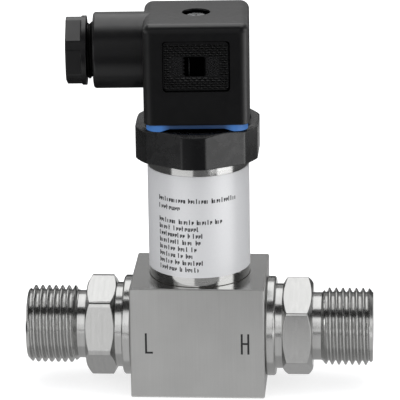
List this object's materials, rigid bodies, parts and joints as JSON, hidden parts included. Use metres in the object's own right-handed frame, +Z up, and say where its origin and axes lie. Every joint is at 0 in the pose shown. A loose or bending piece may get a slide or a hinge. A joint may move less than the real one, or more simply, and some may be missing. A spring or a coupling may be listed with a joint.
{
  "type": "differential pressure transmitter",
  "caption": "Steel block with a threaded pressure port on either side, an upright sensor tube, and a square black angled plug with a cable gland.",
  "frame": {"origin": "middle of the process block's underside, under the tube's axis", "axes": "+Z up along the tube; +X along the high pressure port; -Y out of the marked front face"},
  "size_m": [0.0936, 0.0344, 0.1033],
  "materials": {
    "block_steel": "milled bar, fine upright brush lines",
    "turned_steel": "bright turned stainless steel",
    "tube_steel": "drawn tube, polished",
    "sensor_steel": "ground stainless steel",
    "plated_steel": "zinc plated, bright",
    "pin_metal": "gold flashed pins",
    "contact_metal": "tin plated brass",
    "insert_brass": "bare brass",
    "label_film": "silver white polyester film",
    "housing_black": "glass filled polyamide, satin",
    "nut_black": "glass filled polyamide, satin",
    "base_black": "moulded, satin",
    "insert_grey": "moulded, matt",
    "gasket_blue": "soft moulded, satin",
    "seal_black": "smooth rubber",
    "washer_white": "slippery plastic",
    "post_white": "moulded nylon",
    "board_green": "lacquered glass laminate",
    "chip_black": "moulded, matt",
    "can_aluminium": "drawn cans",
    "wire_red": "insulated wire"
  },
  "bodies": {
    "transmitter": {"process_block": "block_steel", "low_side_fitting": "turned_steel", "high_side_fitting": "turned_steel", "sensor_capsule": "sensor_steel", "low_side_diaphragm": "sensor_steel", "high_side_diaphragm": "sensor_steel", "low_side_seal": "seal_black", "high_side_seal": "seal_black", "header_pins": "pin_metal", "housing_tube": "tube_steel", "label": "label_film", "board_posts": "post_white", "conditioning_board": "board_green", "conditioning_chip": "chip_black", "output_board": "board_green", "output_chip": "chip_black", "filter_capacitors": "can_aluminium", "link_wires": "wire_red", "connector_base": "base_black", "base_seal": "seal_black", "thread_insert": "insert_brass", "signal_blade": "contact_metal", "spare_blade": "contact_metal", "supply_blade": "contact_metal", "earth_blade": "contact_metal", "ring_nut": "nut_black", "profile_gasket": "gasket_blue"},
    "plug": {"plug_housing": "housing_black", "terminal_insert": "insert_grey", "signal_clip": "contact_metal", "spare_clip": "contact_metal", "supply_clip": "contact_metal", "earth_clip": "contact_metal", "terminal_screws": "plated_steel", "screw_seal": "seal_black", "cable_grommet": "seal_black"},
    "centre_screw": {"centre_screw": "plated_steel"},
    "gland_washer": {"gland_washer": "washer_white"},
    "gland_nut": {"gland_nut": "housing_black"}
  },
  "joints": [
    {"name": "plug_lift", "type": "slide", "parent": "transmitter", "child": "plug", "axis": [0, 0, 1], "range_m": [0, 0.022]},
    {"name": "screw_turn", "type": "hinge", "parent": "plug", "child": "centre_screw", "pos_m": [0, 0, 0.1005], "axis": [0, 0, 1], "continuous": true},
    {"name": "gland_travel", "type": "slide", "parent": "plug", "child": "gland_washer", "axis": [-0.9984, -0.0558, 0], "range_m": [-0.00118, 0.00283]},
    {"name": "gland_turn", "type": "hinge", "parent": "gland_washer", "child": "gland_nut", "pos_m": [-0.02895, -0.00162, 0.0932], "axis": [-0.9984, -0.0558, 0], "range_deg": [-300, 720]}
  ],
  "couplings": [
    {"joint": "gland_travel", "follows": "gland_turn", "m_per_rad": 0.00022441}
  ]
}
